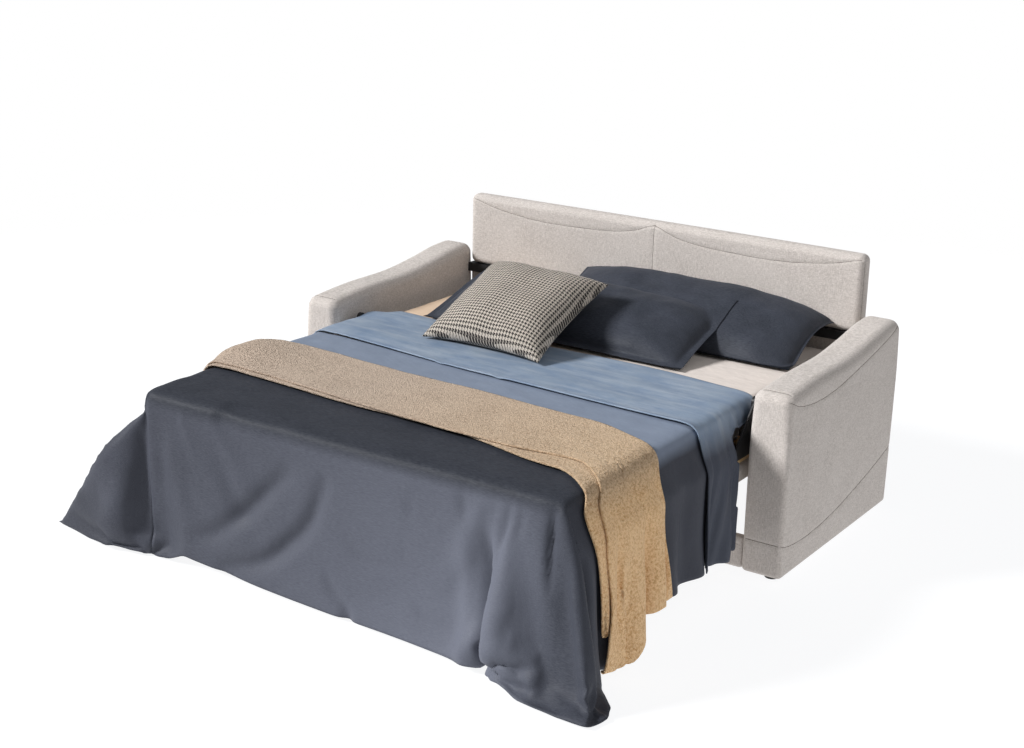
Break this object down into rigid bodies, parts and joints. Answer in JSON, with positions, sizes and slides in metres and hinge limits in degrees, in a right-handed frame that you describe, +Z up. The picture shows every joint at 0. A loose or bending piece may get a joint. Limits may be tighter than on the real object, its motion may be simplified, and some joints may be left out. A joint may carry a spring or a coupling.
{
  "type": "sleeper sofa with pull out bed",
  "caption": "Sofa opened out as a made bed: upholstered arms and headboard, folding slatted deck on lift arms, mattress, cushions and bedding.",
  "frame": {"origin": "middle of the whole, on the floor", "axes": "+X to the right seen from the foot of the bed, +Y from the foot to the headboard, +Z up"},
  "size_m": [2.2514, 2.061, 0.93],
  "materials": {
    "upholstery": "woven greige upholstery",
    "cushion_cover": "woven beige upholstery",
    "mattress_cover": "cream cotton cover",
    "bedspread_cloth": "slate blue sateen",
    "turndown_cloth": "light blue sateen reverse",
    "throw_cloth": "tan looped wool",
    "pillow_cloth": "dark slate sateen",
    "houndstooth_cloth": "black and cream houndstooth weave",
    "slat_wood": "bare birch plywood",
    "leg_wood": "dark stain",
    "foot_plastic": "black moulded plastic",
    "frame_steel": "dark powder coat",
    "pin_steel": "zinc plated"
  },
  "bodies": {
    "root": {"arm_left": "upholstery", "arm_right": "upholstery", "arm_foot_front_left": "foot_plastic", "arm_foot_front_right": "foot_plastic", "arm_foot_rear_left": "foot_plastic", "arm_foot_rear_right": "foot_plastic", "headboard": "upholstery", "headboard_rail": "frame_steel", "rear_crossbeam": "frame_steel", "rear_panel": "upholstery", "front_apron": "upholstery", "base_rail_left": "frame_steel", "base_rail_right": "frame_steel", "bedspread": "bedspread_cloth", "bedspread_turndown": "turndown_cloth", "throw": "throw_cloth", "pillow_rear": "pillow_cloth", "pillow_front": "pillow_cloth", "scatter_cushion": "houndstooth_cloth"},
    "lift_front": {"lift_arm_front_left": "frame_steel", "lift_arm_front_right": "frame_steel"},
    "lift_rear": {"lift_arm_rear_left": "frame_steel", "lift_arm_rear_right": "frame_steel"},
    "head_section": {"head_side_frame_left": "frame_steel", "head_side_frame_right": "frame_steel", "fold_hinge_pin_left": "pin_steel", "fold_hinge_pin_right": "pin_steel", "head_end_rail": "frame_steel", "head_slat_1": "slat_wood", "head_slat_2": "slat_wood", "head_slat_3": "slat_wood", "head_slat_4": "slat_wood", "mattress_head": "mattress_cover"},
    "mid_section": {"mid_side_frame_left": "frame_steel", "mid_side_frame_right": "frame_steel", "knee_hinge_pin_left": "pin_steel", "knee_hinge_pin_right": "pin_steel", "mid_slat_1": "slat_wood", "mid_slat_2": "slat_wood", "mid_slat_3": "slat_wood", "mattress_mid": "mattress_cover", "seat_board": "slat_wood", "seat_cushion_left": "cushion_cover", "seat_cushion_right": "cushion_cover"},
    "foot_section": {"foot_side_frame_left": "frame_steel", "foot_side_frame_right": "frame_steel", "foot_end_rail": "frame_steel", "foot_slat_1": "slat_wood", "foot_slat_2": "slat_wood", "foot_slat_3": "slat_wood", "mattress_foot": "mattress_cover", "back_board": "slat_wood", "back_cushion_left": "cushion_cover", "back_cushion_right": "cushion_cover"},
    "foot_legs": {"foot_leg_left": "leg_wood", "foot_leg_right": "leg_wood"}
  },
  "joints": [
    {"name": "bed_fold", "type": "hinge", "parent": "head_section", "child": "mid_section", "pos_m": [0.12567, 0.21047, 0.585], "axis": [-1, 0, 0], "range_deg": [0, 180], "deforming": ["bedspread", "bedspread_turndown", "throw", "pillow_rear", "pillow_front", "scatter_cushion"]},
    {"name": "lift_front_swing", "type": "hinge", "parent": "root", "child": "lift_front", "pos_m": [0.12567, 0.52466, 0.2425], "axis": [1, 0, 0], "range_deg": [0, 77.37]},
    {"name": "lift_rear_swing", "type": "hinge", "parent": "root", "child": "lift_rear", "pos_m": [0.12567, 0.89466, 0.2425], "axis": [1, 0, 0], "range_deg": [0, 77.37]},
    {"name": "head_level", "type": "hinge", "parent": "lift_front", "child": "head_section", "pos_m": [0.12567, 0.29047, 0.43], "axis": [-1, 0, 0], "range_deg": [0, 77.37]},
    {"name": "knee", "type": "hinge", "parent": "mid_section", "child": "foot_section", "pos_m": [0.12567, -0.37953, 0.445], "axis": [1, 0, 0], "range_deg": [0, 90]},
    {"name": "leg_fold", "type": "hinge", "parent": "foot_section", "child": "foot_legs", "pos_m": [0.12567, -0.84453, 0.392], "axis": [1, 0, 0], "range_deg": [0, 90]}
  ],
  "couplings": [
    {"joint": "lift_front_swing", "follows": "bed_fold", "ratio": 0.4298},
    {"joint": "lift_rear_swing", "follows": "bed_fold", "ratio": 0.4298},
    {"joint": "head_level", "follows": "bed_fold", "ratio": 0.4298},
    {"joint": "knee", "follows": "bed_fold", "ratio": 0.5},
    {"joint": "leg_fold", "follows": "bed_fold", "ratio": 0.5}
  ]
}
